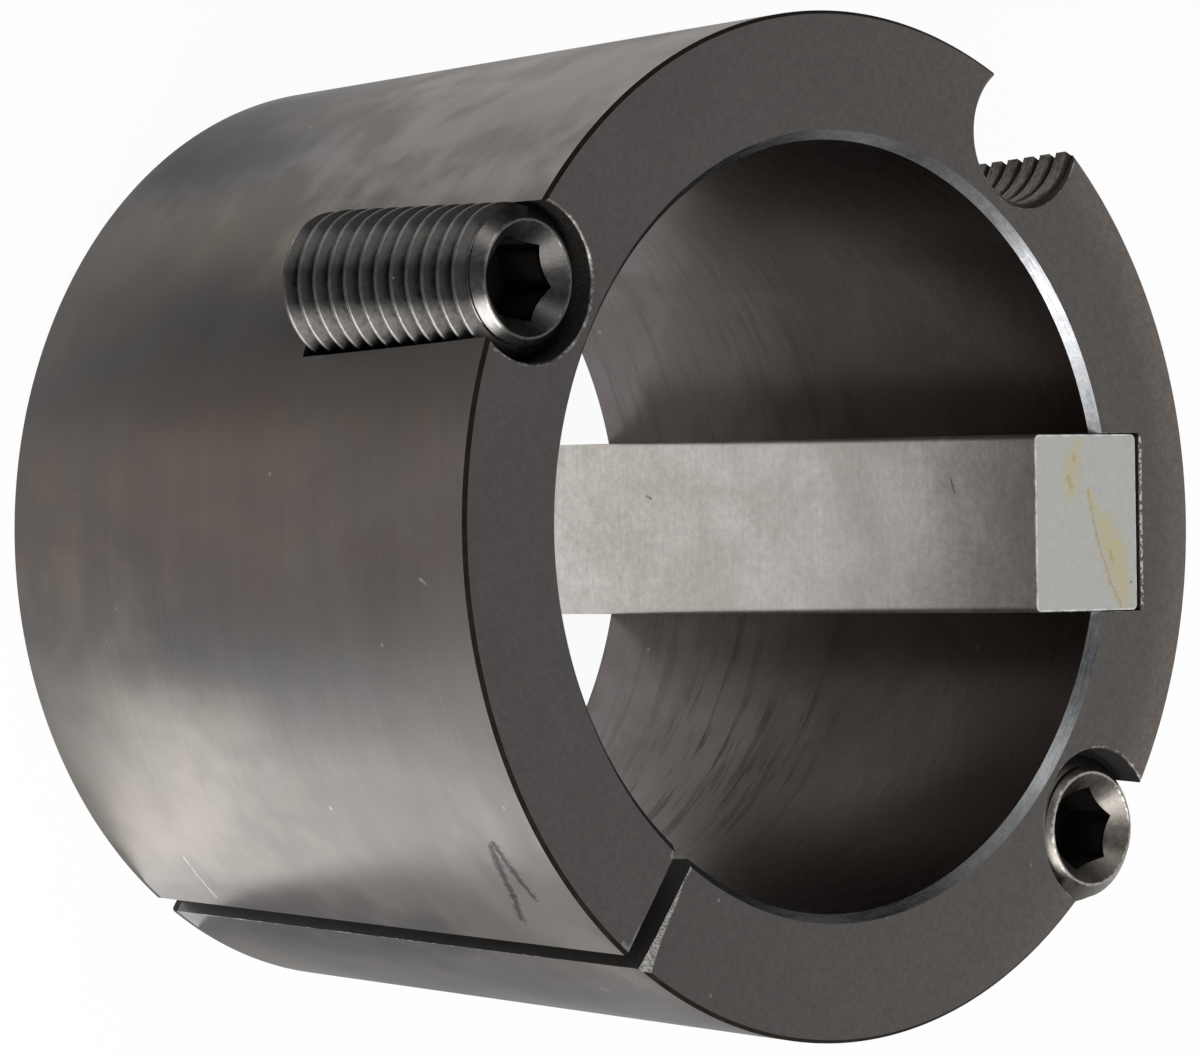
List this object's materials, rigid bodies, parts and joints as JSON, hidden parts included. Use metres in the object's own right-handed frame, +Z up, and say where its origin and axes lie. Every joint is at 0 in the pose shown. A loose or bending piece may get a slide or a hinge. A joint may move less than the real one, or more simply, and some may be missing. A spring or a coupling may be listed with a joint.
{
  "type": "taper bush",
  "caption": "Split conical bush with a keyed shaft bore, blind half-round pockets with hexagon-socket set screws and a tapped half hole for removal.",
  "frame": {"origin": "on the axis of the bore, in the plane of the small end face", "axes": "+Z up the axis to the large end face; +Y towards the removal half hole, -Y towards the split; the two screws lie near +X and -X"},
  "size_m": [0.1178, 0.1075, 0.076],
  "materials": {
    "blackened_iron": "machined and chemically blackened, satin",
    "ground_steel": "drawn bright bar, satin and slightly mottled",
    "blackened_screw_steel": "blackened thread, worn bright on its edges"
  },
  "bodies": {
    "root": {"bush": "blackened_iron", "key": "ground_steel", "screw_right": "blackened_screw_steel", "screw_left": "blackened_screw_steel"}
  },
  "joints": []
}
